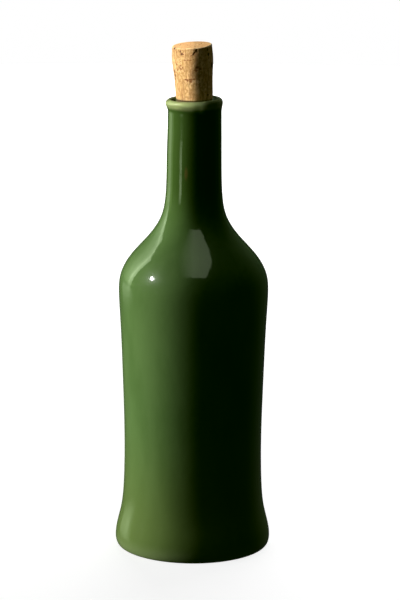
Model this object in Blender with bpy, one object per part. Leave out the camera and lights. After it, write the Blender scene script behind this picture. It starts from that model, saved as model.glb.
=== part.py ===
"""A stoneware oil bottle with a cork stopper, in metres, standing on z = 0.

The bottle is thrown on a wheel: a flared foot, a slim waist, round shoulders, a long
neck and a rolled lip. Its mouth holds a cork that tapers where the neck squeezes it
and leans a little to the left above the lip.

Run it with: blender --background --python part.py
"""

from math import cos, pi, radians, sin, tan

import bmesh
import bpy
import numpy as np

# Bottle: the outer size, from the table up.
FOOT_RADIUS = 0.0463
WAIST_RADIUS = 0.0410
SHOULDER_RADIUS = 0.0443
NECK_RADIUS = 0.0158
LIP_RADIUS = 0.0168
BOTTLE_HEIGHT = 0.2705

# Foot: a rounded lower edge, a flat ring to stand on and a shallow hollow inside it.
FOOT_EDGE_HEIGHT = 0.005
FOOT_EDGE_WIDTH = 0.0022
FOOT_RING_WIDTH = 0.0065
FOOT_HOLLOW_DEPTH = 0.0016

# The side between foot and lip: heights and the radius at each.
SIDE = [
    (FOOT_EDGE_HEIGHT, FOOT_RADIUS),
    (0.021, 0.0433),
    (0.038, 0.04145),
    (0.062, WAIST_RADIUS),
    (0.105, 0.0421),
    (0.138, 0.0435),
    (0.153, SHOULDER_RADIUS),
    (0.165, 0.04335),
    (0.177, 0.0368),
    (0.188, 0.02705),
    (0.199, 0.01985),
    (0.213, 0.01682),
    (0.235, 0.0162),
    (0.2625, NECK_RADIUS),
]

# Lip: a rolled edge that stands out from the neck and turns down into the mouth.
LIP_WIDEST_HEIGHT = 0.2677
LIP_CREST_RADIUS = 0.0142
BORE_RADIUS = 0.0107
BORE_START_HEIGHT = 0.2645

# Cork: its length, its rounded rim and the radius at heights along its side.
CORK_TOP = 0.3015
CORK_BOTTOM = 0.2565
CORK_RIM = 0.0008
CORK_GAP = 0.0003
CORK_SIDE = [
    (CORK_BOTTOM + CORK_RIM, 0.0103),
    (0.266, 0.0104),
    (0.2712, 0.0109),
    (0.278, 0.01115),
    (0.288, 0.0118),
    (0.295, 0.01205),
    (CORK_TOP - CORK_RIM, 0.01175),
]

# The cork stands straight in the bore, bends just below the crest and leans above it.
LEAN = radians(2.9)
LEAN_START = 0.266
LEAN_BEND = 0.008
TOP_SLANT_LEFT = radians(4.0)
TOP_SLANT_FRONT = radians(2.3)

# Fineness of the meshes.
BOTTLE_SIDES = 64
CORK_SIDES = 48
RINGS_PER_SPAN = 3
ARC_STEPS = 5
SAME_POINT = 1e-6

GLAZE_GREEN = (0.082, 0.150, 0.036)
CORK_TAN = (0.685, 0.450, 0.180)


def clear_scene():
    for thing in list(bpy.data.objects):
        bpy.data.objects.remove(thing, do_unlink=True)


def spline(stations, rings):
    """Points on one smooth curve through the (height, radius) stations, upright at both ends."""
    heights, radii = np.array(stations).T
    spans = np.diff(heights)
    rises = np.diff(radii) / spans
    count = len(stations)
    system = np.eye(count)
    goal = np.zeros(count)
    for i in range(1, count - 1):
        before, after = 1 / spans[i - 1], 1 / spans[i]
        system[i, i - 1:i + 2] = before, 2 * (before + after), after
        goal[i] = 3 * (rises[i - 1] * before + rises[i] * after)
    slopes = np.linalg.solve(system, goal)
    points = [stations[0]]
    for i, span in enumerate(spans):
        for ring in range(1, rings + 1):
            t = ring / rings
            start_part = (1 - t) ** 2 * ((1 + 2 * t) * radii[i] + t * span * slopes[i])
            end_part = t**2 * ((3 - 2 * t) * radii[i + 1] - (1 - t) * span * slopes[i + 1])
            points.append((heights[i] + t * span, start_part + end_part))
    return points


def arc(centre, height, width, start, end):
    """Points on a quarter ellipse about (height, radius), after its first point."""
    angles = np.radians(np.linspace(start, end, ARC_STEPS + 1))[1:]
    return [(centre[0] + height * sin(a), centre[1] + width * cos(a)) for a in angles]


def bottle_outline():
    """The (height, radius) points from the middle of the base to the bottom of the bore."""
    contact_radius = FOOT_RADIUS - FOOT_EDGE_WIDTH
    ring_inner = contact_radius - FOOT_RING_WIDTH
    base = [
        (FOOT_HOLLOW_DEPTH, 0.0),
        (FOOT_HOLLOW_DEPTH, ring_inner - FOOT_HOLLOW_DEPTH),
        (FOOT_HOLLOW_DEPTH / 3, ring_inner - FOOT_HOLLOW_DEPTH / 3),
        (0.0, ring_inner),
        (0.0, contact_radius),
    ]
    foot_edge = arc((FOOT_EDGE_HEIGHT, contact_radius), FOOT_EDGE_HEIGHT, FOOT_EDGE_WIDTH, -90, 0)
    side = spline(SIDE, RINGS_PER_SPAN)[1:]
    lip_under = spline([SIDE[-1], (LIP_WIDEST_HEIGHT, LIP_RADIUS)], ARC_STEPS)[1:]
    lip_drop = BOTTLE_HEIGHT - LIP_WIDEST_HEIGHT
    lip_roll = LIP_RADIUS - LIP_CREST_RADIUS
    lip_over = arc((LIP_WIDEST_HEIGHT, LIP_CREST_RADIUS), lip_drop, lip_roll, 0, 90)
    flare_depth = BOTTLE_HEIGHT - BORE_START_HEIGHT
    flare_width = LIP_CREST_RADIUS - BORE_RADIUS
    flare = arc((BORE_START_HEIGHT, LIP_CREST_RADIUS), flare_depth, flare_width, 90, 180)
    bore_bottom = CORK_BOTTOM - CORK_GAP
    bore = [(bore_bottom, BORE_RADIUS), (bore_bottom, 0.0)]
    return base + foot_edge + side + lip_under + lip_over + flare + bore


def cork_outline():
    """The (height, radius) points from the middle of the cork's lower end to its top."""
    bottom_radius = CORK_SIDE[0][1] - CORK_RIM
    top_radius = CORK_SIDE[-1][1] - CORK_RIM
    lower_end = [(CORK_BOTTOM, 0.0), (CORK_BOTTOM, bottom_radius)]
    lower_rim = arc((CORK_SIDE[0][0], bottom_radius), CORK_RIM, CORK_RIM, -90, 0)
    side = spline(CORK_SIDE, RINGS_PER_SPAN)[1:]
    upper_rim = arc((CORK_SIDE[-1][0], top_radius), CORK_RIM, CORK_RIM, 0, 90)
    return lower_end + lower_rim + side + upper_rim + [(CORK_TOP, 0.0)]


def turned(outline, sides):
    """The closed mesh made by turning a (height, radius) outline about the Z axis."""
    shape = bmesh.new()
    points = [shape.verts.new((radius, 0.0, height)) for height, radius in outline]
    edges = [shape.edges.new(pair) for pair in zip(points, points[1:])]
    bmesh.ops.spin(
        shape, geom=points + edges, cent=(0, 0, 0), axis=(0, 0, 1), angle=2 * pi, steps=sides
    )
    bmesh.ops.remove_doubles(shape, verts=shape.verts, dist=SAME_POINT)
    bmesh.ops.recalc_face_normals(shape, faces=shape.faces)
    return shape


def lean(shape):
    """Bend the cork to the left above the mouth and slant its top face."""
    for vert in shape.verts:
        reach = vert.co.z - LEAN_START
        if reach <= 0:
            continue
        if reach < LEAN_BEND:
            shift = reach**2 / (2 * LEAN_BEND)
        else:
            shift = reach - LEAN_BEND / 2
        share = reach / (CORK_TOP - LEAN_START)
        slant = vert.co.x * tan(TOP_SLANT_LEFT) + vert.co.y * tan(TOP_SLANT_FRONT)
        vert.co.z += share * slant
        vert.co.x -= shift * tan(LEAN)


def material(name, colour, roughness):
    made = bpy.data.materials.new(name)
    made.use_nodes = True
    shader = made.node_tree.nodes["Principled BSDF"]
    shader.inputs["Base Color"].default_value = (*colour, 1.0)
    shader.inputs["Roughness"].default_value = roughness
    shader.inputs["Metallic"].default_value = 0.0
    return made


def add_object(name, shape, finish, sharp_angle):
    mesh = bpy.data.meshes.new(name)
    shape.to_mesh(mesh)
    shape.free()
    mesh.materials.append(finish)
    mesh.shade_smooth()
    mesh.set_sharp_from_angle(angle=sharp_angle)
    made = bpy.data.objects.new(name, mesh)
    bpy.context.scene.collection.objects.link(made)
    return made


def make_bottle():
    glaze = material("green_glaze", GLAZE_GREEN, 0.12)
    add_object("bottle", turned(bottle_outline(), BOTTLE_SIDES), glaze, radians(40))


def make_cork():
    shape = turned(cork_outline(), CORK_SIDES)
    lean(shape)
    add_object("cork", shape, material("cork", CORK_TAN, 0.85), radians(50))


clear_scene()
make_bottle()
make_cork()
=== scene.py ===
"""The looks of the stoneware oil bottle: its glazed body, its cork, and the studio around it."""

from math import atan, cos, pi, radians, sin, tan

import bpy
import numpy as np
from mathutils import Matrix, Vector, noise


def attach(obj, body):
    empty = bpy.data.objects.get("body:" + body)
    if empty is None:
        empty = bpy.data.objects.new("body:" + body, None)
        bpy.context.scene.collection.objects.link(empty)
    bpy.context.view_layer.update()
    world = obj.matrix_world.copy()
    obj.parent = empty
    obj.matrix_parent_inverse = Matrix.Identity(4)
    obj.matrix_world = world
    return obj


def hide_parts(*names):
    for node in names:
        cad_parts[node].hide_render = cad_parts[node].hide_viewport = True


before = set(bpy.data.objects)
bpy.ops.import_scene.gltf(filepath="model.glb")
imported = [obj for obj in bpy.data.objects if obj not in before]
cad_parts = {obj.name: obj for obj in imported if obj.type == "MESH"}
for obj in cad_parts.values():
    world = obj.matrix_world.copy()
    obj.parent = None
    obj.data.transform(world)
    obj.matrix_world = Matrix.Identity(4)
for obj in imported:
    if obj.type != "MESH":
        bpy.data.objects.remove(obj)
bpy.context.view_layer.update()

MM = 0.001

# The bottle's outer size, in metres from the surface it stands on.
FOOT_RADIUS = 0.0463
WAIST_RADIUS = 0.0410
SHOULDER_RADIUS = 0.0443
NECK_RADIUS = 0.0158
LIP_RADIUS = 0.0168
BOTTLE_HEIGHT = 0.2705
FOOT_EDGE_HEIGHT = 0.005
FOOT_EDGE_WIDTH = 0.0022
FOOT_RING_WIDTH = 0.0065
FOOT_HOLLOW_DEPTH = 0.0016
SIDE = [
    (FOOT_EDGE_HEIGHT, FOOT_RADIUS),
    (0.021, 0.0433),
    (0.038, 0.04145),
    (0.062, WAIST_RADIUS),
    (0.105, 0.0421),
    (0.138, 0.0435),
    (0.153, SHOULDER_RADIUS),
    (0.165, 0.04335),
    (0.177, 0.0368),
    (0.188, 0.02705),
    (0.199, 0.01985),
    (0.213, 0.01682),
    (0.235, 0.0162),
    (0.2625, NECK_RADIUS),
]
LIP_WIDEST_HEIGHT = 0.2677
LIP_CREST_RADIUS = 0.0142
LIP_SQUARENESS = 0.88
BORE_RADIUS = 0.0107
BORE_START_HEIGHT = 0.2645

# The cork: its side, its rounded rims and how it leans above the mouth.
CORK_TOP = 0.3015
CORK_BOTTOM = 0.2565
CORK_RIM = 0.0008
CORK_GAP = 0.0003
CORK_SIDE = [
    (CORK_BOTTOM + CORK_RIM, 0.0103),
    (0.266, 0.0104),
    (0.2712, 0.0109),
    (0.278, 0.01115),
    (0.288, 0.0118),
    (0.295, 0.01205),
    (CORK_TOP - CORK_RIM, 0.01175),
]
LEAN = radians(2.9)
LEAN_START = 0.266
LEAN_BEND = 0.008
TOP_SLANT_LEFT = radians(4.0)
TOP_SLANT_FRONT = radians(2.3)

# Unevenness left by the potter's hands: the most that the wall and the neck stand in from the true
# circle, how far the lip droops on the left, and how far the neck and the lip stand to the right.
WALL_UNEVENNESS = 0.10 * MM
NECK_UNEVENNESS = 0.05 * MM
WALL_GRAIN = (0.05, 0.05, 0.07)
NECK_GRAIN = (0.016, 0.016, 0.022)
LIP_DROOP = 0.8 * MM
DROOP_WAVE = 0.04
NECK_SHIFT = 0.20 * MM
LIP_SHIFT = -0.10 * MM

# The heights and radii between which those set in.
UNEVEN_FROM = (0.006, 0.03)
NECK_FROM = (0.19, 0.215)
DROOP_FROM = (0.266, 0.270)
NECK_SHIFT_FROM = (0.232, 0.257)
LIP_FROM = (0.2625, 0.2665)
LIP_SHIFT_OUTSIDE = (0.0118, 0.0135)
NECK_SHIFT_OUTSIDE = 0.0120

# How finely the shapes are divided: sides round the axis, and metres between the rings of a wall.
BOTTLE_SIDES = 256
CORK_SIDES = 320
STEPS_PER_STATION = 40
BOTTLE_RING_SPACING = 0.0013
CORK_RING_SPACING = 0.00024
HIDDEN_CORK_RING_SPACING = 0.0009

CAMERA_PLACE = (0.0, -1.700, 0.5365)
CAMERA_AIM = (0.00384, 0.0, 0.14935)
CAMERA_ROLL = radians(0.30)
FOCAL_LENGTH = 176.4
SENSOR_HEIGHT = 36.0


# ---------------------------------------------------------------- shapes


def spline(stations, rings):
    """Points on one smooth curve through the (height, radius) stations, upright at both ends."""
    heights, radii = np.array(stations).T
    spans = np.diff(heights)
    rises = np.diff(radii) / spans
    count = len(stations)
    system = np.eye(count)
    goal = np.zeros(count)
    for i in range(1, count - 1):
        before, after = 1 / spans[i - 1], 1 / spans[i]
        system[i, i - 1:i + 2] = before, 2 * (before + after), after
        goal[i] = 3 * (rises[i - 1] * before + rises[i] * after)
    slopes = np.linalg.solve(system, goal)
    points = [stations[0]]
    for i, span in enumerate(spans):
        for ring in range(1, rings + 1):
            t = ring / rings
            start_part = (1 - t) ** 2 * ((1 + 2 * t) * radii[i] + t * span * slopes[i])
            end_part = t**2 * ((3 - 2 * t) * radii[i + 1] - (1 - t) * span * slopes[i + 1])
            points.append((heights[i] + t * span, start_part + end_part))
    return points


def arc(centre, height, width, start, end, steps, squareness=1.0):
    """Points on a quarter ellipse about (height, radius), after its first point; below 1 it is fuller."""
    angles = np.radians(np.linspace(start, end, steps + 1))[1:]
    ups = np.sign(np.sin(angles)) * np.abs(np.sin(angles)) ** squareness
    outs = np.sign(np.cos(angles)) * np.abs(np.cos(angles).round(12)) ** squareness
    return [(centre[0] + height * up, centre[1] + width * out) for up, out in zip(ups, outs)]


def straight(start, end, steps):
    """Evenly spaced points from start to end, without start."""
    shares = np.linspace(0, 1, steps + 1)[1:]
    return [(start[0] + t * (end[0] - start[0]), start[1] + t * (end[1] - start[1])) for t in shares]


def evened(points, spacing):
    """The same line, with points at an even spacing along it."""
    line = np.array(points)
    lengths = np.r_[0, np.cumsum(np.hypot(*np.diff(line, axis=0).T))]
    places = np.linspace(0, lengths[-1], int(round(lengths[-1] / spacing)) + 1)
    return list(zip(np.interp(places, lengths, line[:, 0]), np.interp(places, lengths, line[:, 1])))


def bottle_outline():
    """The (height, radius) points from the middle of the base to the bottom of the bore.

    The last whole number in each call is how many steps that stretch is cut into.
    """
    contact_radius = FOOT_RADIUS - FOOT_EDGE_WIDTH
    ring_inner = contact_radius - FOOT_RING_WIDTH
    hollow_radius = ring_inner - FOOT_HOLLOW_DEPTH
    middle = (FOOT_HOLLOW_DEPTH, 0.0)
    hollow = [middle] + straight(middle, (FOOT_HOLLOW_DEPTH, hollow_radius), 12)
    ring_side = [
        (FOOT_HOLLOW_DEPTH * (1 - sin(a)), hollow_radius + FOOT_HOLLOW_DEPTH * (1 - cos(a)))
        for a in np.radians(np.linspace(0, 90, 7))[1:]
    ]
    ring = straight((0.0, ring_inner), (0.0, contact_radius), 6)
    foot_edge = arc((FOOT_EDGE_HEIGHT, contact_radius), FOOT_EDGE_HEIGHT, FOOT_EDGE_WIDTH, -90, 0, 14)
    side = evened(spline(SIDE, STEPS_PER_STATION), BOTTLE_RING_SPACING)[1:]
    lip_under = spline([SIDE[-1], (LIP_WIDEST_HEIGHT, LIP_RADIUS)], 16)[1:]
    lip_drop = BOTTLE_HEIGHT - LIP_WIDEST_HEIGHT
    lip_roll = LIP_RADIUS - LIP_CREST_RADIUS
    lip_over = arc((LIP_WIDEST_HEIGHT, LIP_CREST_RADIUS), lip_drop, lip_roll, 0, 90, 12, LIP_SQUARENESS)
    flare_depth = BOTTLE_HEIGHT - BORE_START_HEIGHT
    flare_width = LIP_CREST_RADIUS - BORE_RADIUS
    flare = arc((BORE_START_HEIGHT, LIP_CREST_RADIUS), flare_depth, flare_width, 90, 180, 14)
    bore_bottom = CORK_BOTTOM - CORK_GAP
    bore = straight((BORE_START_HEIGHT, BORE_RADIUS), (bore_bottom, BORE_RADIUS), 8)
    bore_floor = straight((bore_bottom, BORE_RADIUS), (bore_bottom, 0.0), 3)
    foot = hollow + ring_side + ring + foot_edge
    return foot + side + lip_under + lip_over + flare + bore + bore_floor


def cork_outline():
    """The (height, radius) points from the middle of the cork's lower end to its top."""
    bottom_radius = CORK_SIDE[0][1] - CORK_RIM
    top_radius = CORK_SIDE[-1][1] - CORK_RIM
    middle = (CORK_BOTTOM, 0.0)
    lower_end = [middle] + straight(middle, (CORK_BOTTOM, bottom_radius), 6)
    lower_rim = arc((CORK_SIDE[0][0], bottom_radius), CORK_RIM, CORK_RIM, -90, 0, 4)
    side = spline(CORK_SIDE, STEPS_PER_STATION)
    mouth = CORK_SIDE[1][0]
    in_neck = evened([p for p in side if p[0] <= mouth], HIDDEN_CORK_RING_SPACING)[1:]
    above = evened([p for p in side if p[0] >= mouth], CORK_RING_SPACING)[1:]
    upper_rim = arc((CORK_SIDE[-1][0], top_radius), CORK_RIM, CORK_RIM, 0, 90, 6)
    top = straight((CORK_TOP, top_radius), (CORK_TOP, 0.0), 36)
    return lower_end + lower_rim + in_neck + above + upper_rim + top


def turned(outline, sides):
    """Points and faces made by turning an outline, which starts and ends on the axis, about Z."""
    inner = outline[1:-1]
    angles = np.arange(sides) * 2 * pi / sides
    heights, radii = np.array(inner).T
    points = np.empty((len(inner), sides, 3))
    points[..., 0] = radii[:, None] * np.cos(angles)
    points[..., 1] = radii[:, None] * np.sin(angles)
    points[..., 2] = heights[:, None]
    bottom = len(inner) * sides
    top = bottom + 1
    faces = []
    for side in range(sides):
        after = (side + 1) % sides
        faces.append((bottom, after, side))
        for ring in range(len(inner) - 1):
            low, high = ring * sides, (ring + 1) * sides
            faces.append((low + side, low + after, high + after, high + side))
        last = (len(inner) - 1) * sides
        faces.append((last + side, last + after, top))
    ends = [(0.0, 0.0, outline[0][0]), (0.0, 0.0, outline[-1][0])]
    return np.vstack([points.reshape(-1, 3), ends]), faces


def smooth_step(value, low, high):
    """0 below low, 1 above high, and an S-shaped rise between them."""
    t = np.clip((value - low) / (high - low), 0, 1)
    return t * t * (3 - 2 * t)


def field(points, scale, offset):
    """Smooth noise from 0 to 1 at each point. scale is its grain in metres, one number for each axis."""
    places = points / np.array(scale) + offset
    return np.array([0.5 + 0.5 * noise.noise(Vector(place)) for place in places])


def add_piece(name, points, faces, node):
    """A smooth-shaded mesh that stands in for one node of the CAD model."""
    mesh = bpy.data.meshes.new(name)
    mesh.from_pydata([tuple(p) for p in points], [], faces)
    mesh.validate()
    mesh.shade_smooth()
    piece = bpy.data.objects.new(name, mesh)
    bpy.context.scene.collection.objects.link(piece)
    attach(piece, "root")
    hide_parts(node)
    return piece


# ---------------------------------------------------------------- node helpers


class Nodes:
    """Short calls for building one material's nodes."""

    def __init__(self, name):
        self.material = bpy.data.materials.new(name)
        self.material.use_nodes = True
        self.tree = self.material.node_tree
        self.tree.nodes.clear()
        self.shader = self.tree.nodes.new("ShaderNodeBsdfPrincipled")
        output = self.tree.nodes.new("ShaderNodeOutputMaterial")
        self.link(self.shader.outputs[0], output.inputs["Surface"])
        self.place = self.tree.nodes.new("ShaderNodeTexCoord").outputs["Object"]

    def link(self, source, socket):
        """Feed socket from another node's output, or set it to a plain value."""
        if isinstance(source, bpy.types.NodeSocket):
            self.tree.links.new(source, socket)
        else:
            socket.default_value = source

    def math(self, operation, a, b):
        """The result of one Math operation on sockets or plain numbers."""
        node = self.tree.nodes.new("ShaderNodeMath")
        node.operation = operation
        self.link(a, node.inputs[0])
        self.link(b, node.inputs[1])
        return node.outputs[0]

    def times(self, a, b):
        """a multiplied by b."""
        return self.math("MULTIPLY", a, b)

    def stretched(self, scale, offset=(0, 0, 0)):
        """The object's coordinates, scaled on each axis and then moved."""
        node = self.tree.nodes.new("ShaderNodeMapping")
        self.link(self.place, node.inputs["Vector"])
        node.inputs["Location"].default_value = offset
        node.inputs["Scale"].default_value = scale
        return node.outputs[0]

    def noise(self, scale, detail, vector=None):
        """Noise with this many grains to the metre, read at vector or at the object's coordinates."""
        node = self.tree.nodes.new("ShaderNodeTexNoise")
        self.link(vector or self.place, node.inputs["Vector"])
        node.inputs["Scale"].default_value = scale
        node.inputs["Detail"].default_value = detail
        return node.outputs[0]

    def ramp(self, value, low, high, from_value=0.0, to_value=1.0):
        """value from low to high, mapped smoothly to from_value to to_value."""
        node = self.tree.nodes.new("ShaderNodeMapRange")
        node.interpolation_type = "SMOOTHSTEP"
        self.link(value, node.inputs["Value"])
        node.inputs["From Min"].default_value = low
        node.inputs["From Max"].default_value = high
        node.inputs["To Min"].default_value = from_value
        node.inputs["To Max"].default_value = to_value
        return node.outputs["Result"]

    def mix(self, share, a, b):
        """Colour a where share is 0, b where it is 1."""
        node = self.tree.nodes.new("ShaderNodeMix")
        node.data_type = "RGBA"
        self.link(share, node.inputs["Factor"])
        self.link(a if isinstance(a, bpy.types.NodeSocket) else (*a, 1.0), node.inputs["A"])
        self.link(b if isinstance(b, bpy.types.NodeSocket) else (*b, 1.0), node.inputs["B"])
        return node.outputs["Result"]

    def height(self):
        """Height above the surface that the bottle stands on."""
        node = self.tree.nodes.new("ShaderNodeSeparateXYZ")
        self.link(self.place, node.inputs[0])
        return node.outputs["Z"]

    def radius(self):
        """Distance from the bottle's axis."""
        level = self.tree.nodes.new("ShaderNodeVectorMath")
        level.operation = "MULTIPLY"
        self.link(self.place, level.inputs[0])
        level.inputs[1].default_value = (1.0, 1.0, 0.0)
        return self.length(level.outputs["Vector"])

    def length(self, vector):
        """How long a vector is."""
        node = self.tree.nodes.new("ShaderNodeVectorMath")
        node.operation = "LENGTH"
        self.link(vector, node.inputs[0])
        return node.outputs["Value"]

    def attribute(self, name):
        """The number stored for each point of the mesh under this name."""
        node = self.tree.nodes.new("ShaderNodeAttribute")
        node.attribute_name = name
        return node.outputs["Fac"]

    def bump(self, value, distance, strength, under=None):
        """The surface's slope changed by value, on top of the one that under gives."""
        node = self.tree.nodes.new("ShaderNodeBump")
        node.inputs["Strength"].default_value = strength
        node.inputs["Distance"].default_value = distance
        self.link(value, node.inputs["Height"])
        if under is not None:
            self.link(under, node.inputs["Normal"])
        return node.outputs[0]


# ---------------------------------------------------------------- the glazed body

GLAZE_DEEP = (0.072, 0.136, 0.035)
GLAZE_GREEN = (0.094, 0.168, 0.048)
GLAZE_THICK = (0.037, 0.076, 0.011)
GLAZE_OLIVE = (0.115, 0.160, 0.040)
# The lip's pale colour: thin glaze, and painted light as well.
GLAZE_THIN_AND_LIT = (0.200, 0.240, 0.088)
GLAZE_FOOT = (0.150, 0.205, 0.078)
GLAZE_RUST = (0.150, 0.103, 0.028)
BARE_CLAY = (0.33, 0.24, 0.16)
BARE_CLAY_DARK = (0.24, 0.17, 0.11)

# The heights or radii, in metres, between which each glaze sets in: none at the first, all at the second.
THICK_NECK = (0.186, 0.222)
OLIVE_BASE = (0.09, 0.01)
# The lip's pale colour holds painted light as well as thin glaze; it stays off the mouth's inside, which
# keeps darker glaze as painted shade.
THIN_LIP = (0.2642, 0.2666)
THIN_LIP_OUTSIDE = (0.0126, 0.0140)
THIN_FOOT = (0.0110, 0.0010)
BARE_FOOT = (0.0004, 0.0001)
EDGE_WANDER = 0.0016

# The stain is round in coordinates that are squeezed in height and moved to have it at their origin.
STAIN_SQUEEZE = (1, 1, 0.28)
STAIN_MOVE = (0.0047, 0.0156, -0.0639)
STAIN_RADIUS = (0.0015, 0.0003)

# Roughness where the glaze is shiniest and dullest, a weak blurred coat that gives highlights a halo,
# and the depths of the fine relief that the material gives.
GLAZE_ROUGHNESS = (0.045, 0.085)
CLAY_ROUGHNESS = 0.85
COAT_WEIGHT = 0.12
COAT_ROUGHNESS = 0.38
RIPPLE_DEPTH = 0.00010
SKIN_DEPTH = 0.000045


def glaze_colour(n, height, glaze_height, bare):
    """Cloudy green: thick on the neck, thin on the foot, pale on the lip from thin glaze and painted
    light, with a rusty stain and bare clay.
    """
    drift = n.noise(28.0, 4.0, n.stretched((1, 1, 0.5)))
    cloud = n.noise(95.0, 3.0, n.stretched((1, 1, 0.35), offset=(0.3, 0.1, 0.0)))
    tone = n.math("ADD", n.times(drift, 0.65), n.times(cloud, 0.35))
    colour = n.mix(n.ramp(tone, 0.36, 0.64), GLAZE_DEEP, GLAZE_GREEN)
    colour = n.mix(n.times(n.ramp(height, *THICK_NECK), 0.85), colour, GLAZE_THICK)
    colour = n.mix(n.times(n.ramp(height, *OLIVE_BASE), 0.6), colour, GLAZE_OLIVE)
    from_stain = n.length(n.stretched(STAIN_SQUEEZE, STAIN_MOVE))
    colour = n.mix(n.ramp(from_stain, *STAIN_RADIUS, 0.0, 0.6), colour, GLAZE_RUST)
    # Thin glaze with painted light on the lip's outside; the mouth's inside keeps the darker glaze as
    # painted shade.
    outer = n.ramp(n.radius(), *THIN_LIP_OUTSIDE)
    colour = n.mix(n.times(n.ramp(glaze_height, *THIN_LIP), outer), colour, GLAZE_THIN_AND_LIT)
    colour = n.mix(n.times(n.ramp(glaze_height, *THIN_FOOT), 0.8), colour, GLAZE_FOOT)
    clay = n.mix(n.noise(1400.0, 4.0), BARE_CLAY, BARE_CLAY_DARK)
    return n.mix(bare, colour, clay)


def glaze_material():
    """A glossy glaze over a slightly rippled surface, and dull bare clay under the foot."""
    n = Nodes("green_glaze")
    height = n.height()
    wander = n.times(n.math("SUBTRACT", n.noise(160.0, 3.0), 0.5), EDGE_WANDER)
    glaze_height = n.math("ADD", height, wander)
    bare = n.ramp(glaze_height, *BARE_FOOT)
    n.link(glaze_colour(n, height, glaze_height, bare), n.shader.inputs["Base Color"])
    roughness = n.tree.nodes.new("ShaderNodeMix")
    n.link(bare, roughness.inputs["Factor"])
    n.link(n.ramp(n.noise(60.0, 4.0), 0.3, 0.7, *GLAZE_ROUGHNESS), roughness.inputs["A"])
    roughness.inputs["B"].default_value = CLAY_ROUGHNESS
    n.link(roughness.outputs["Result"], n.shader.inputs["Roughness"])
    n.shader.inputs["IOR"].default_value = 1.5
    n.shader.inputs["Coat Weight"].default_value = COAT_WEIGHT
    n.shader.inputs["Coat Roughness"].default_value = COAT_ROUGHNESS
    ripples = n.bump(n.noise(70.0, 2.0, n.stretched((1, 1, 0.6))), RIPPLE_DEPTH, 1.0)
    skin = n.bump(n.noise(300.0, 3.0), SKIN_DEPTH, 1.0, ripples)
    n.link(skin, n.shader.inputs["Normal"])
    return n.material


def uneven(points):
    """Points of the bottle moved as hand throwing leaves them: walls a little in, lip a little down."""
    radius = np.hypot(points[:, 0], points[:, 1])
    height = points[:, 2]
    outside = smooth_step(height, *UNEVEN_FROM) * (radius > BORE_RADIUS + 0.5 * MM)
    neck = smooth_step(height, *NECK_FROM)
    broad = field(points, WALL_GRAIN, 3.1)
    fine = field(points, NECK_GRAIN, 7.7)
    inward = outside * ((1 - neck) * WALL_UNEVENNESS * broad + neck * NECK_UNEVENNESS * fine)
    shrink = 1 - inward / np.maximum(radius, 1e-9)
    moved = points.copy()
    moved[:, 0] *= shrink
    moved[:, 1] *= shrink
    lip = smooth_step(height, *DROOP_FROM)
    round_lip = np.arctan2(points[:, 1], points[:, 0])
    droop = 0.5 - 0.5 * np.cos(round_lip) + DROOP_WAVE * np.cos(3 * round_lip + 1.0)
    moved[:, 2] -= lip * LIP_DROOP * droop
    on_lip = smooth_step(height, *LIP_FROM) * smooth_step(radius, *LIP_SHIFT_OUTSIDE)
    under_lip = smooth_step(-height, -LIP_FROM[1], -LIP_FROM[0])
    below_lip = smooth_step(height, *NECK_SHIFT_FROM) * under_lip * (radius > NECK_SHIFT_OUTSIDE)
    moved[:, 0] += on_lip * LIP_SHIFT + below_lip * NECK_SHIFT
    return moved


def make_body():
    """The glazed bottle, a turned form with a potter's unevenness."""
    points, faces = turned(bottle_outline(), BOTTLE_SIDES)
    body = add_piece("glazed_body", uneven(points), faces, "bottle")
    body.data.materials.append(glaze_material())
    return body


# ---------------------------------------------------------------- the cork

CORK_LIGHT = (0.80, 0.56, 0.255)
CORK_TAN = (0.63, 0.40, 0.150)
CORK_BROWN = (0.36, 0.175, 0.062)
CORK_MOTTLE = (0.48, 0.27, 0.085)
CORK_END = (0.50, 0.27, 0.105)
# The paler top rim: the cut edge's lighter tone, with a painted highlight where the rim catches the
# light.
CORK_EDGE_HIGHLIGHT = (0.82, 0.62, 0.33)
CORK_PIT_EDGE = (0.27, 0.095, 0.025)
CORK_PIT = (0.080, 0.034, 0.012)
# Painted shade of the gap under the lip, on cork also darkened by oil, between the heights IN_MOUTH
# gives.
CORK_MOUTH_SHADE_AND_OIL = (0.060, 0.045, 0.012)
IN_MOUTH = (0.2706, 0.2699)

# How deep the growth lines and the broad unevenness go, at the most, and the size of their grain.
LINE_DEPTH = 0.09 * MM
LINE_GRAIN = (0.0009, 0.0009, 0.006)
LUMP_DEPTH = 0.10 * MM
LUMP_GRAIN = (0.004, 0.004, 0.012)

# Depths of the fine relief that the material gives.
CELL_DEPTH = 0.00008
STREAK_DEPTH = 0.00012

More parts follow.
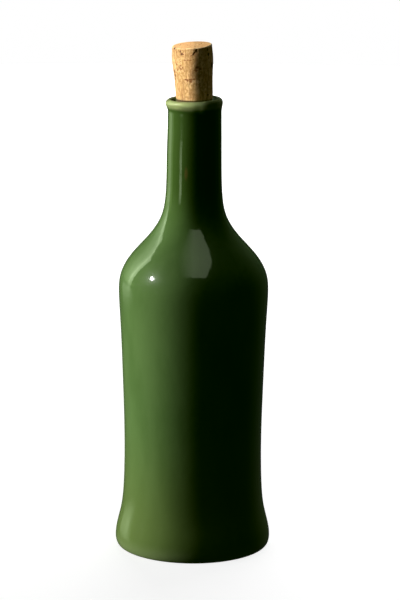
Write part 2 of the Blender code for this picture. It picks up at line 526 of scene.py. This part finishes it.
# Pits on the front: (degrees right of the front, height, half width, half height, turn, depth).
# Lengths are in mm, and the turn is in degrees.
FRONT_PITS = [
    (12, 300.0, 1.00, 0.62, 55, 0.6),
    (5, 298.5, 1.25, 0.48, 50, 0.5),
    (-3, 297.3, 0.70, 0.35, 30, 0.09),
    (15, 299.2, 0.35, 0.45, -40, 0.3),
    (-36, 299.8, 0.55, 0.85, -25, 0.14),
    (-31, 298.2, 0.90, 0.80, -20, 0.13),
    (-26, 298.1, 0.50, 0.45, 0, 0.09),
    (-50, 299.2, 0.40, 0.65, 10, 0.07),
    (-52, 291.8, 0.75, 0.75, -40, 0.075),
    (-36, 291.2, 0.85, 0.42, 5, 0.075),
    (-42, 290.3, 0.45, 0.75, 10, 0.08),
    (-30, 290.2, 0.45, 0.75, -10, 0.08),
    (-36, 289.3, 0.85, 0.45, 0, 0.09),
    (-50, 288.4, 0.65, 0.55, 20, 0.08),
    (-24, 288.2, 0.50, 0.45, 0, 0.06),
    (-21, 294.6, 0.85, 0.34, 8, 0.075),
    (-13, 294.7, 0.60, 0.32, 0, 0.07),
    (-6, 294.6, 0.90, 0.36, 5, 0.08),
    (3, 295.0, 0.50, 0.32, 0, 0.06),
    (-70, 287.2, 0.90, 1.05, 10, 0.14),
    (-66, 284.7, 0.75, 1.10, -12, 0.14),
    (-70, 282.5, 0.65, 0.75, 0, 0.12),
    (-23, 283.1, 0.95, 0.62, 20, 0.10),
    (-18, 282.5, 0.62, 0.95, -20, 0.09),
    (-8, 283.0, 1.25, 0.62, 5, 0.10),
    (-8, 282.0, 0.95, 0.80, 15, 0.10),
    (2, 283.2, 0.90, 0.60, -15, 0.09),
    (13, 290.0, 1.20, 0.85, 20, 0.11),
    (9, 288.3, 1.30, 0.65, -10, 0.10),
    (20, 289.2, 0.70, 0.80, 0, 0.08),
    (53, 296.6, 0.70, 0.70, 0, 0.4),
    (50, 299.6, 0.50, 0.80, 0, 0.3),
    (69, 290.0, 0.80, 1.40, 5, 0.5),
    (47, 273.2, 0.65, 0.60, 0, 0.3),
    (-62, 301.0, 0.90, 0.55, 0, 0.4),
]

# The other pits: how many, where, and the depth from which a pit has its full colour.
BACK_PITS = 95
SMALL_FRONT_PITS = 26
TOP_PITS = 16
BACK_DEGREES = (75, 285)
FRONT_DEGREES = (-75, 75)
PIT_HEIGHTS = (271.5, 300.5)
SIDE_PIT_SEED = 5
TOP_PIT_SEED = 11
FULL_PIT_COLOUR_DEPTH = 0.15 * MM


def cork_pits():
    """All pits of the side, as rows like FRONT_PITS: those, then the back's, then small front ones."""
    rng = np.random.default_rng(SIDE_PIT_SEED)
    pits = list(FRONT_PITS)
    for _ in range(BACK_PITS):
        turn_round = rng.uniform(*BACK_DEGREES)
        side_on = abs(sin(radians(turn_round)))
        width = rng.uniform(0.25, 0.7) * (1 + 1.4 * side_on)
        tall = rng.uniform(0.16, 0.5)
        height = rng.uniform(*PIT_HEIGHTS)
        pits.append((turn_round, height, width, tall, rng.uniform(-25, 25), rng.uniform(0.2, 0.6)))
    for _ in range(SMALL_FRONT_PITS):
        pits.append((
            rng.uniform(*FRONT_DEGREES), rng.uniform(*PIT_HEIGHTS), rng.uniform(0.12, 0.26),
            rng.uniform(0.12, 0.24), 0, rng.uniform(0.08, 0.2),
        ))
    return pits


def side_pit_depths(points, on_wall):
    """How deep each point of the cork lies in a pit of its side, in metres."""
    angle = np.arctan2(points[:, 0], -points[:, 1])
    radius = np.hypot(points[:, 0], points[:, 1])
    ragged = 0.75 * (field(points, (0.0007, 0.0007, 0.0007), 1.3) - 0.5)
    depth = np.zeros(len(points))
    on_side = on_wall & (points[:, 2] > BOTTLE_HEIGHT)
    for degrees, height, half_width, half_height, turn, deep in cork_pits():
        apart = (angle - radians(degrees) + pi) % (2 * pi) - pi
        across = apart * radius / MM
        up = points[:, 2] / MM - height
        along = across * cos(radians(turn)) + up * sin(radians(turn))
        over = -across * sin(radians(turn)) + up * cos(radians(turn))
        reach = np.hypot(along / half_width, over / half_height) + ragged
        depth = np.maximum(depth, on_side * deep * MM * smooth_step(-reach, -1.25, -0.55))
    return depth


def top_pit_depths(points, on_top):
    """How deep each point of the cork lies in a pit of its top, in metres."""
    rng = np.random.default_rng(TOP_PIT_SEED)
    depth = np.zeros(len(points))
    ragged = 0.6 * (field(points, (0.0006, 0.0006, 0.0006), 9.4) - 0.5)
    for _ in range(TOP_PITS):
        x, y = rng.uniform(-9.5, 9.5, 2)
        half_x, half_y = rng.uniform(0.15, 0.4), rng.uniform(0.4, 1.3)
        deep = rng.uniform(0.1, 0.35)
        reach = np.hypot((points[:, 0] / MM - x) / half_x, (points[:, 1] / MM - y) / half_y) + ragged
        depth = np.maximum(depth, on_top * deep * MM * smooth_step(-reach, -1.25, -0.5))
    return depth


def lean(points):
    """Bend the cork to the left above the mouth and slant its top face."""
    reach = np.maximum(points[:, 2] - LEAN_START, 0)
    shift = np.where(reach < LEAN_BEND, reach**2 / (2 * LEAN_BEND), reach - LEAN_BEND / 2)
    share = reach / (CORK_TOP - LEAN_START)
    slant = points[:, 0] * tan(TOP_SLANT_LEFT) + points[:, 1] * tan(TOP_SLANT_FRONT)
    moved = points.copy()
    moved[:, 2] += share * slant
    moved[:, 0] -= shift * tan(LEAN)
    return moved


def make_cork():
    """The cork, with modelled pits, growth lines and lumps, leaning above the mouth."""
    points, faces = turned(cork_outline(), CORK_SIDES)
    radius = np.hypot(points[:, 0], points[:, 1])
    top_radius = CORK_SIDE[-1][1] - CORK_RIM
    on_top = (points[:, 2] > CORK_TOP - 1e-6) & (radius < top_radius)
    on_side = ~on_top & (points[:, 2] > CORK_BOTTOM + CORK_RIM)
    side_pits = side_pit_depths(points, on_side)
    face_pits = top_pit_depths(points, on_top)
    grain = LINE_DEPTH * field(points, LINE_GRAIN, 4.2)
    grain += LUMP_DEPTH * field(points, LUMP_GRAIN, 8.2)
    inward = np.where(on_side, side_pits + grain, 0)
    shaped = points.copy()
    shrink = 1 - inward / np.maximum(radius, 1e-9)
    shaped[:, 0] *= shrink
    shaped[:, 1] *= shrink
    shaped[:, 2] -= np.where(on_top, face_pits + 0.4 * grain, 0)
    cork = add_piece("cork_stopper", lean(shaped), faces, "cork")
    add_attribute(cork, "pit", np.clip((side_pits + face_pits) / FULL_PIT_COLOUR_DEPTH, 0, 1))
    add_attribute(cork, "end", on_top * smooth_step(-radius, -top_radius, 0.6 * MM - top_radius))
    # The rim band that gets the paler edge colour and its painted highlight.
    near_top = points[:, 2] > CORK_TOP - CORK_RIM
    add_attribute(cork, "edge", near_top * smooth_step(radius, top_radius - 0.3 * MM, top_radius))
    cork.data.materials.append(cork_material())
    return cork


def add_attribute(piece, name, values):
    """Store one number for each point of the mesh, for its material to read."""
    attribute = piece.data.attributes.new(name, "FLOAT", "POINT")
    attribute.data.foreach_set("value", values.astype(np.float32))


def growth_rings(n):
    """Faint, wavy upright bands, as the tree's yearly rings leave them."""
    rings = n.tree.nodes.new("ShaderNodeTexWave")
    n.link(n.stretched((1, 1, 0.1)), rings.inputs["Vector"])
    rings.wave_type = "BANDS"
    rings.bands_direction = "Y"
    rings.inputs["Scale"].default_value = 150.0
    rings.inputs["Distortion"].default_value = 2.2
    rings.inputs["Detail"].default_value = 2.0
    rings.inputs["Detail Scale"].default_value = 1.2
    return rings.outputs["Fac"]


def cork_colour(n, streak, cells):
    """Warm tan, mottled and streaked with brown, dark in the pits, and darkened where it goes into the
    mouth by oil and painted shade.
    """
    blotch = n.noise(210.0, 4.0, n.stretched((1, 1, 0.45)))
    colour = n.mix(n.ramp(blotch, 0.35, 0.65), CORK_LIGHT, CORK_TAN)
    mottle = n.noise(950.0, 2.0, n.stretched((1, 1, 0.6)))
    colour = n.mix(n.ramp(mottle, 0.40, 0.62, 0.0, 0.90), colour, CORK_MOTTLE)
    end_lines = n.noise(700.0, 3.0, n.stretched((0.18, 1, 0.3)))
    end_grain = n.times(n.attribute("end"), n.ramp(end_lines, 0.38, 0.60, 0.25, 0.95))
    colour = n.mix(end_grain, colour, CORK_END)
    # Paler cut edge with a painted highlight round the top rim.
    colour = n.mix(n.times(n.attribute("edge"), 0.6), colour, CORK_EDGE_HIGHLIGHT)
    colour = n.mix(n.ramp(streak, 0.50, 0.70, 0.0, 0.70), colour, CORK_BROWN)
    colour = n.mix(n.ramp(growth_rings(n), 0.78, 0.98, 0.0, 0.30), colour, CORK_BROWN)
    colour = n.mix(n.ramp(cells, 0.50, 0.72, 0.0, 0.42), colour, CORK_BROWN)
    speck = n.noise(1000.0, 2.0, n.stretched((1, 1, 1.4)))
    colour = n.mix(n.ramp(speck, 0.62, 0.72, 0.0, 0.75), colour, CORK_BROWN)
    pit = n.attribute("pit")
    colour = n.mix(n.ramp(pit, 0.02, 0.45, 0.0, 0.90), colour, CORK_PIT_EDGE)
    colour = n.mix(n.ramp(pit, 0.50, 1.0, 0.0, 0.9), colour, CORK_PIT)
    # Painted shade, with oil, on the cork below the lip's crest.
    return n.mix(n.ramp(n.height(), *IN_MOUTH, 0.0, 0.95), colour, CORK_MOUTH_SHADE_AND_OIL)


def cork_material():
    """Dull natural cork with fine cells and upright growth lines."""
    n = Nodes("natural_cork")
    streak = n.noise(900.0, 3.0, n.stretched((1, 1, 0.05)))
    cells = n.noise(1900.0, 3.0)
    n.link(cork_colour(n, streak, cells), n.shader.inputs["Base Color"])
    n.link(n.ramp(cells, 0.3, 0.7, 0.75, 0.95), n.shader.inputs["Roughness"])
    n.shader.inputs["Specular IOR Level"].default_value = 0.25
    n.shader.inputs["Diffuse Roughness"].default_value = 1.0
    fine = n.bump(cells, CELL_DEPTH, 0.7)
    n.link(n.bump(streak, STREAK_DEPTH, 0.6, fine), n.shader.inputs["Normal"])
    return n.material


# ---------------------------------------------------------------- the studio

LIGHT_AIM = Vector((0.0, 0.0, 0.17))
KEY_DISTANCE = 2.4
BOX_DISTANCE = 2.2
BEAM_DISTANCE = 0.6
BEAM_SPREAD = 0.5
REFLECTED_GREEN = (0.81, 1.0, 0.64)
NECK_GREEN = (0.66, 1.0, 0.36)
CORK_SHADE = (0.93, 1.0, 0.85)

# Azimuths are in degrees to the left of the photo's view, and elevations in degrees up.
# Spots that small lights aim at, and where the panels stand that the neck and the shoulder reflect.
CORK_FRONT = Vector((-0.0125, 0.0, 0.284))
CORK_MIDDLE = Vector((-0.006, 0.0, 0.284))
LIP_MIDDLE = Vector((0.0, 0.0, 0.2678))
LIP_SPOT = Vector((-0.0101, -0.0131, 0.2685))
SHOULDER_SPOT = Vector((-0.0236, -0.0338, 0.1695))
FOOT_MIDDLE = Vector((0.0, 0.0, 0.02))
NECK_MIDDLE = Vector((0.0, 0.0, 0.232))
STREAK_PLACE = Vector((-0.2594, -0.1685, 0.1934))
BAND_PLACE = Vector((-0.196, 0.170, 0.2075))
BAND_EDGE_PLACE = Vector((-0.300, 0.067, 0.2075))
CEILING_PLACE = Vector((0.05, -0.93, 2.18))

# The floor lies just below the foot. Its glow rises between two radii, from one strength to another.
FLOOR_RADIUS = 2.0
FLOOR_SIDES = 96
FLOOR_GAP = 0.05 * MM
FLOOR_GREY = 0.5
FLOOR_GLOW = (0.1, 0.8, 0.86, 1.0)

AMBIENT_COLOUR = (0.9, 1.0, 0.95, 1.0)
AMBIENT_STRENGTH = 0.018
WHITE = (1.0, 1.0, 1.0, 1.0)
BLACK_LEVEL = (0.0020, 0.0, 0.0030)


def direction(azimuth, elevation):
    """Unit vector from the bottle, with azimuth in degrees to the left of the viewer's side."""
    a, e = radians(azimuth), radians(elevation)
    return Vector((-sin(a) * cos(e), -cos(a) * cos(e), sin(e)))


def place_light(name, data, place, aim):
    """A light at place, turned towards aim, that the camera doesn't see."""
    light = bpy.data.objects.new(name, data)
    bpy.context.scene.collection.objects.link(light)
    light.location = place
    light.rotation_euler = (aim - place).to_track_quat("-Z", "Y").to_euler()
    light.visible_camera = False
    return light


def add_panel(name, place, aim, width, height, radiance, spread=180.0):
    """A rectangular softbox; a small spread in degrees makes it a beam, as a honeycomb grid does."""
    data = bpy.data.lights.new(name, "AREA")
    data.shape = "RECTANGLE"
    data.size = width
    data.size_y = height
    data.energy = radiance * pi * width * height
    data.spread = radians(spread)
    return place_light(name, data, place, aim)


def add_softbox(name, azimuth, elevation, distance, width, height, radiance):
    """A panel that faces the bottle from this direction."""
    place = LIGHT_AIM + distance * direction(azimuth, elevation)
    return add_panel(name, place, LIGHT_AIM, width, height, radiance)


def add_diffuse_box(name, azimuth, elevation, distance, width, height, radiance):
    """A softbox that lights the bottle but doesn't show in the glaze."""
    box = add_softbox(name, azimuth, elevation, distance, width, height, radiance)
    box.visible_glossy = False
    return box


def add_beam(name, piece, place, azimuth, elevation, width, height, radiance):
    """A gridded panel that lights one spot of one piece and doesn't show in the glaze."""
    origin = place + BEAM_DISTANCE * direction(azimuth, elevation)
    beam = add_panel(name, origin, place, width, height, radiance, BEAM_SPREAD)
    beam.visible_glossy = False
    light_only(beam, piece)


def add_glint(name, azimuth, elevation, place, distance, radius, radiance):
    """A small round lamp whose reflection is a glint; its snoot keeps the light to that spot."""
    data = bpy.data.lights.new(name, "SPOT")
    data.shadow_soft_size = radius
    data.spot_size = 2 * atan(1.5 * radius / distance)
    data.spot_blend = 0.35
    data.energy = radiance * 4 * pi**2 * radius**2
    lamp = place_light(name, data, place + distance * direction(azimuth, elevation), place)
    lamp.visible_diffuse = False


def fade(light, across=((0.0, 1.0), (1.0, 1.0)), upward=((0.0, 1.0), (1.0, 1.0))):
    """Vary a panel's brightness by (share of its width or height, brightness) pairs."""
    light.data.use_nodes = True
    tree = light.data.node_tree
    emission = tree.nodes["Emission"]
    place = tree.nodes.new("ShaderNodeSeparateXYZ")
    tree.links.new(tree.nodes.new("ShaderNodeNewGeometry").outputs["Parametric"], place.inputs[0])
    for axis, brightness, socket in (("X", across, "Color"), ("Y", upward, "Strength")):
        ramp = tree.nodes.new("ShaderNodeValToRGB")
        stops = ramp.color_ramp.elements
        while len(stops) < len(brightness):
            stops.new(0.5)
        for stop, (share, value) in zip(stops, brightness):
            stop.position = share
            stop.color = (value, value, value, 1.0)
        tree.links.new(place.outputs[axis], ramp.inputs["Fac"])
        tree.links.new(ramp.outputs["Color"], emission.inputs[socket])


def light_only(light, piece):
    """Let the light reach this piece alone, as a flag on a stand would."""
    group = bpy.data.collections.new("lit_by_" + light.name)
    group.objects.link(piece)
    light.light_linking.receiver_collection = group


def add_key_lights(body, cork):
    """The main light from the left, higher on the cork, and the cork's own fill and beams."""
    body_key = add_diffuse_box("body_key", 94.5, 8, KEY_DISTANCE, 1.10, 1.10, radiance=31.0)
    light_only(body_key, body)
    cork_key = add_softbox("cork_key", 76, 31, KEY_DISTANCE, 0.30, 0.30, radiance=405.0)
    light_only(cork_key, cork)
    cork_fill = add_diffuse_box("cork_fill", -60, 10, BOX_DISTANCE, 1.0, 1.0, radiance=0.68)
    cork_fill.data.color = CORK_SHADE
    light_only(cork_fill, cork)
    add_beam("cork_front", cork, CORK_FRONT, 0, 18, 0.022, 0.05, radiance=0.55)
    add_beam("cork_middle", cork, CORK_MIDDLE, 0, 18, 0.009, 0.05, radiance=0.20)


def add_fill_lights(body):
    """Soft light from above, behind and the right, and a narrow beam along the lip."""
    add_diffuse_box("top_fill", 75, 58, BOX_DISTANCE, 1.0, 1.0, radiance=1.1)
    add_diffuse_box("back_box", 180, 20, BOX_DISTANCE, 1.2, 1.4, radiance=5.0)
    add_diffuse_box("right_fill", -150, 15, BOX_DISTANCE, 1.0, 1.4, radiance=3.5)
    add_beam("lip_key", body, LIP_MIDDLE, 68, 8, 0.05, 0.006, radiance=1.7)


def add_large_shines():
    """Panels that only show in the glaze: the crescent on the left side, and the gleam on the foot."""
    side_box = add_softbox("side_box", 129, 12.4, BOX_DISTANCE, 1.90, 2.35, radiance=6.2)
    across = [
        (0.0, 0.0), (0.25, 0.04), (0.55, 0.22), (0.685, 0.52),
        (0.70, 0.85), (0.72, 0.85), (0.74, 0.60), (0.84, 0.60), (0.85, 0.0),
    ]
    fade(side_box, across, [(0.0, 0.0), (0.11, 0.05), (0.29, 0.40), (0.52, 1.0)])
    foot_place = FOOT_MIDDLE + BOX_DISTANCE * direction(122, -6)
    foot_box = add_panel("foot_box", foot_place, FOOT_MIDDLE, 1.45, 0.55, radiance=0.75)
    across = [(0.0, 0.6), (0.5, 1.0), (0.8, 0.8), (1.0, 0.0)]
    fade(foot_box, across, [(0.0, 0.0), (0.35, 1.0), (0.8, 1.0), (1.0, 0.0)])
    return side_box, foot_box


def add_neck_shines():
    """Narrow panels that only show in the neck: the thin streak, and the broad band with its edge."""
    streak = add_panel("neck_streak", STREAK_PLACE, NECK_MIDDLE, 0.058, 0.033, 0.075, spread=27.0)
    fade(streak, upward=[(0.0, 1.0), (1.0, 0.5)])
    band = add_panel("neck_band", BAND_PLACE, NECK_MIDDLE, 0.313, 0.085, 0.060, spread=50.0)
    fade(band, [(0.0, 0.10), (0.4, 0.30), (0.8, 0.75), (0.93, 1.0), (1.0, 0.85)])
    edge = add_panel("neck_band_edge", BAND_EDGE_PLACE, NECK_MIDDLE, 0.05, 0.085, 0.020, spread=30.0)
    return streak, band, edge


def add_ceiling():
    """The panel overhead that shows as the grey-green patch on the shoulder."""
    below = CEILING_PLACE - Vector((0, 0, 1))
    ceiling = add_panel("ceiling", CEILING_PLACE, below, 1.60, 1.86, radiance=1.15)
    fade(ceiling, [(0.0, 0.0), (0.45, 1.0)])
    return ceiling


def light_studio(body, cork):
    """All the lights: first those that light the two pieces, then those that only show as reflections."""
    add_key_lights(body, cork)
    add_fill_lights(body)
    side_box, foot_box = add_large_shines()
    streak, band, edge = add_neck_shines()
    for shine in (side_box, foot_box, streak, band, edge, add_ceiling()):
        shine.visible_diffuse = False
        shine.data.color = REFLECTED_GREEN
    for shine in (band, edge):
        shine.data.color = NECK_GREEN
    add_glint("shoulder_glint", 77.1, 28.7, SHOULDER_SPOT, 0.22, 0.0095, radiance=620.0)
    add_glint("lip_glint", 86, 32, LIP_SPOT, 0.12, 0.0090, radiance=220.0)


def make_world():
    """White where the camera looks past everything, and a faint light on everything else."""
    world = bpy.data.worlds.new("studio")
    bpy.context.scene.world = world
    world.use_nodes = True
    tree = world.node_tree
    tree.nodes.clear()
    output = tree.nodes.new("ShaderNodeOutputWorld")
    mix = tree.nodes.new("ShaderNodeMixShader")
    path = tree.nodes.new("ShaderNodeLightPath")
    dim = tree.nodes.new("ShaderNodeBackground")
    dim.inputs["Color"].default_value = AMBIENT_COLOUR
    dim.inputs["Strength"].default_value = AMBIENT_STRENGTH
    white = tree.nodes.new("ShaderNodeBackground")
    white.inputs["Color"].default_value = WHITE
    tree.links.new(path.outputs["Is Camera Ray"], mix.inputs["Fac"])
    tree.links.new(dim.outputs[0], mix.inputs[1])
    tree.links.new(white.outputs[0], mix.inputs[2])
    tree.links.new(mix.outputs[0], output.inputs["Surface"])


def make_floor():
    """A round, pale, evenly lit table that runs out into white and doesn't show in the glaze."""
    angles = np.arange(FLOOR_SIDES) * 2 * pi / FLOOR_SIDES
    rim = [(FLOOR_RADIUS * cos(a), FLOOR_RADIUS * sin(a), -FLOOR_GAP) for a in angles]
    mesh = bpy.data.meshes.new("floor")
    mesh.from_pydata(rim, [], [list(range(FLOOR_SIDES))])
    floor = bpy.data.objects.new("floor", mesh)
    bpy.context.scene.collection.objects.link(floor)
    n = Nodes("pale_floor")
    n.shader.inputs["Base Color"].default_value = (FLOOR_GREY, FLOOR_GREY, FLOOR_GREY, 1.0)
    n.shader.inputs["Roughness"].default_value = 0.9
    n.shader.inputs["Specular IOR Level"].default_value = 0.0
    n.shader.inputs["Emission Color"].default_value = WHITE
    n.link(n.ramp(n.radius(), *FLOOR_GLOW), n.shader.inputs["Emission Strength"])
    mesh.materials.append(n.material)
    floor.visible_glossy = False
    floor.visible_diffuse = False


def add_camera():
    """The photo's view: from a little above, about 1.74 m away."""
    data = bpy.data.cameras.new("camera")
    data.sensor_fit = "VERTICAL"
    data.sensor_height = SENSOR_HEIGHT
    data.lens = FOCAL_LENGTH
    camera = bpy.data.objects.new("camera", data)
    bpy.context.scene.collection.objects.link(camera)
    place, aim = Vector(CAMERA_PLACE), Vector(CAMERA_AIM)
    facing = (aim - place).to_track_quat("-Z", "Y").to_matrix().to_4x4()
    camera.matrix_world = Matrix.Translation(place) @ facing @ Matrix.Rotation(CAMERA_ROLL, 4, "Z")
    bpy.context.scene.camera = camera


def set_exposure():
    """Standard colours with the deep, slightly green blacks of the photo."""
    view = bpy.context.scene.view_settings
    view.view_transform = "Standard"
    view.use_curve_mapping = True
    view.curve_mapping.black_level = BLACK_LEVEL
    view.curve_mapping.update()


set_exposure()
add_camera()
make_world()
make_floor()
light_studio(make_body(), make_cork())
